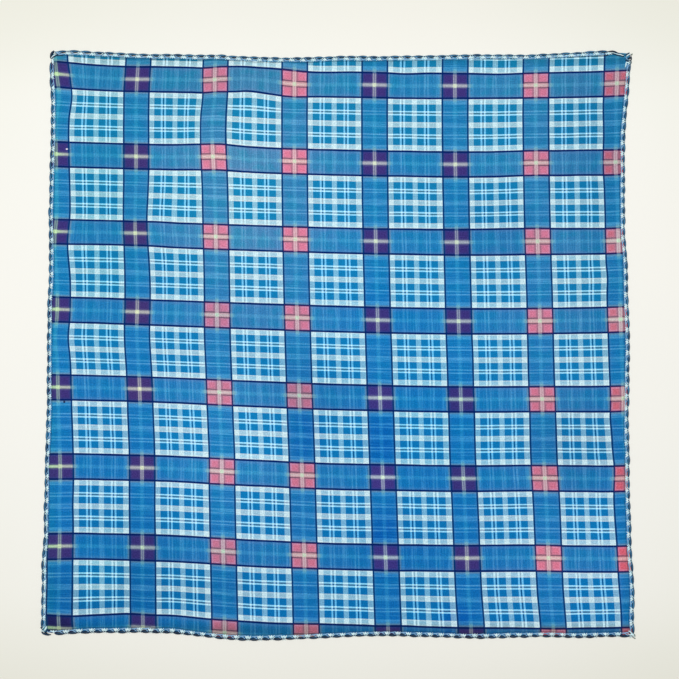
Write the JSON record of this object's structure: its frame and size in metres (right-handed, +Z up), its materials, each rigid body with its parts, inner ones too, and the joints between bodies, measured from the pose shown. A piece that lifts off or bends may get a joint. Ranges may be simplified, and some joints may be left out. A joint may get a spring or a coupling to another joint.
{
  "type": "dog bandana",
  "caption": "Square checked cotton bandana for a dog, laid out flat with low folds, its cut edge finished all round with a two-colour shell stitch.",
  "frame": {"origin": "on the table under the middle of the outline's box", "axes": "+X to the cloth's right edge, +Y to its top edge, +Z up out of the face that shows"},
  "size_m": [0.5586, 0.5573, 0.0045],
  "materials": {
    "checked_cotton": "matt plain-weave cotton, blue check with purple and pink crossings",
    "edging_thread": "twisted sewing thread with a slight sheen, navy with white"
  },
  "bodies": {
    "root": {"cloth": "checked_cotton", "edging_top": "edging_thread", "edging_right": "edging_thread", "edging_bottom": "edging_thread", "edging_left": "edging_thread"}
  },
  "joints": []
}
